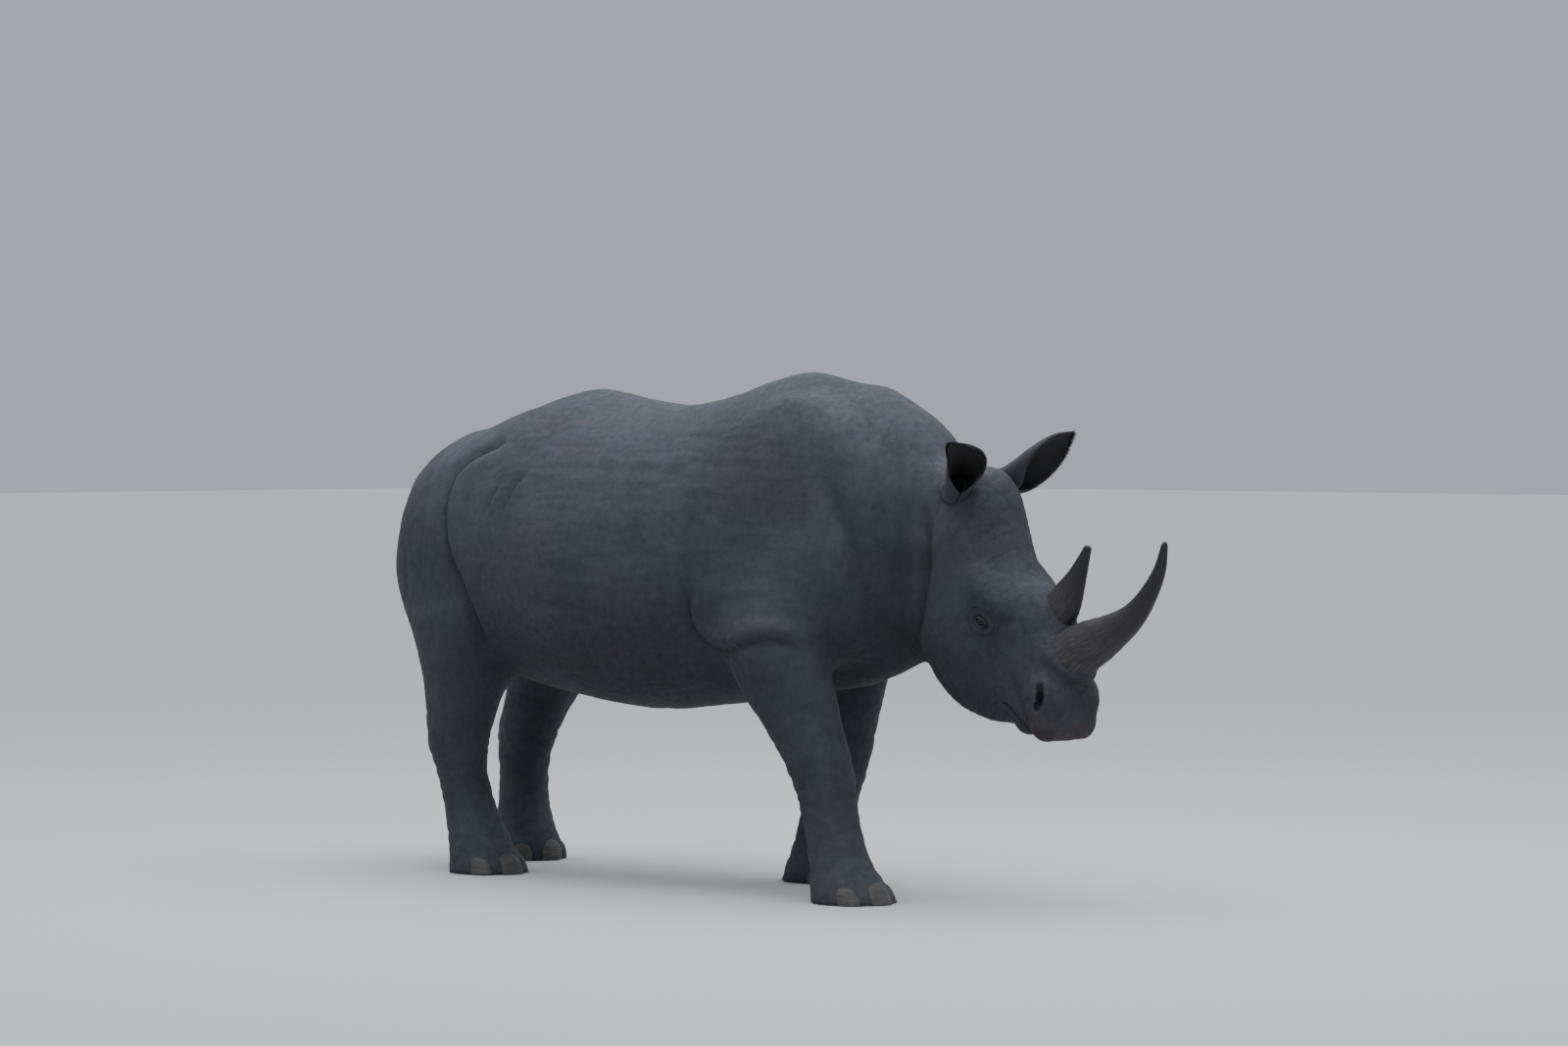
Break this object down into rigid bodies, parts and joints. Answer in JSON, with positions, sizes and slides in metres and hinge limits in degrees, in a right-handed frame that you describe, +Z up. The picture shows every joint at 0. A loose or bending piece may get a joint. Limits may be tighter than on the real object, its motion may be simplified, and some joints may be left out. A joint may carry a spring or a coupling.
{
  "type": "white rhinoceros model",
  "caption": "Life-size still model of a white rhinoceros walking with its head lowered: a hump at the shoulders, a square upper lip and a long curved front horn.",
  "frame": {"origin": "middle of the whole length and width, on the floor under the soles", "axes": "+X forward, the way the animal walks; +Y the animal's left; +Z up"},
  "size_m": [3.6271, 1.0482, 1.8002],
  "materials": {
    "skin": "matt, finely wrinkled grey hide",
    "ear_skin": "matt, thin dark hide with a fringe of short hair",
    "hair": "coarse dark hair",
    "horn": "dull fibrous horn, smoother towards the tip",
    "toenail": "dull worn horn",
    "eye": "wet gloss"
  },
  "bodies": {
    "root": {"trunk": "skin", "neck": "skin", "head": "skin", "tail": "skin", "leg_fore_right": "skin", "leg_fore_left": "skin", "leg_hind_right": "skin", "leg_hind_left": "skin", "ear_right": "ear_skin", "ear_left": "ear_skin", "tail_tuft": "hair", "horn_front": "horn", "horn_rear": "horn", "eye_right": "eye", "eye_left": "eye", "nail_fore_right_inner": "toenail", "nail_fore_right_middle": "toenail", "nail_fore_right_outer": "toenail", "nail_fore_left_inner": "toenail", "nail_fore_left_middle": "toenail", "nail_fore_left_outer": "toenail", "nail_hind_right_inner": "toenail", "nail_hind_right_middle": "toenail", "nail_hind_right_outer": "toenail", "nail_hind_left_inner": "toenail", "nail_hind_left_middle": "toenail", "nail_hind_left_outer": "toenail"}
  },
  "joints": []
}
